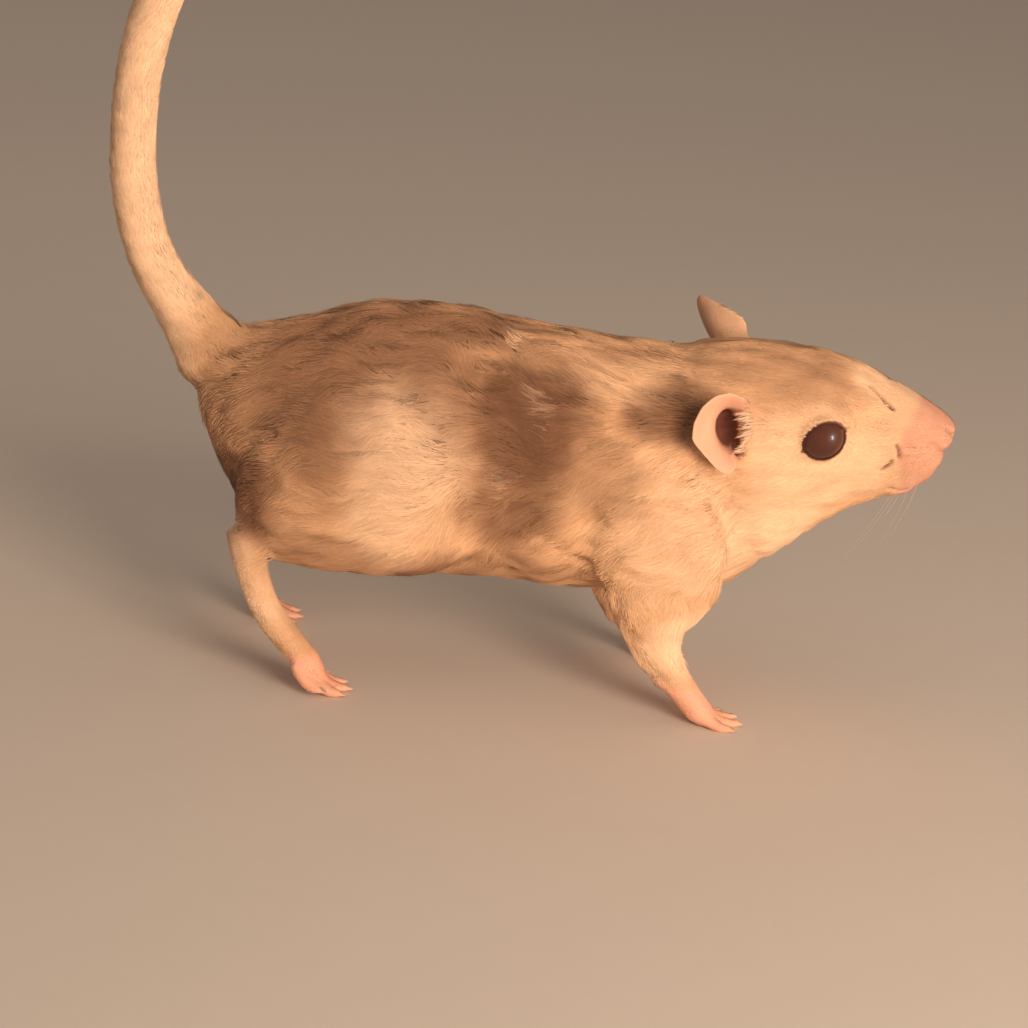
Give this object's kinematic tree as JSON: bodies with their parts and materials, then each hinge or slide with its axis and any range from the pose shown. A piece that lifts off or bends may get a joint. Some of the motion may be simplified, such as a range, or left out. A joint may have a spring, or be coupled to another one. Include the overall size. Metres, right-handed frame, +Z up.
{
  "type": "gerbil",
  "caption": "Still, life-size gerbil in mid-run, head level, long furred tail raised in an arc over its back, heels of the hind feet lifted.",
  "frame": {"origin": "on the floor, at the centre of the footprint of the box around the animal", "axes": "+X towards the nose, +Y to the animal's left side, +Z up; the camera looks at its right side, along +Y"},
  "size_m": [0.1371, 0.0412, 0.1398],
  "materials": {
    "coat": "short golden agouti fur, darker over the back",
    "pale_coat": "short golden cream fur of tail, ears and forelegs",
    "skin": "pink skin under very short sparse hair, satin",
    "eye": "wet, very dark brown"
  },
  "bodies": {
    "root": {"head": "coat", "neck": "coat", "trunk": "coat", "muzzle": "skin", "tail_root": "pale_coat", "tail_lower": "pale_coat", "tail_upper": "pale_coat", "tail_tuft": "pale_coat", "eye_right": "eye", "ear_right": "pale_coat", "haunch_right": "coat", "hindfoot_right": "skin", "foreleg_right": "pale_coat", "forefoot_right": "skin", "eye_left": "eye", "ear_left": "pale_coat", "haunch_left": "coat", "hindfoot_left": "skin", "foreleg_left": "pale_coat", "forefoot_left": "skin"}
  },
  "joints": []
}
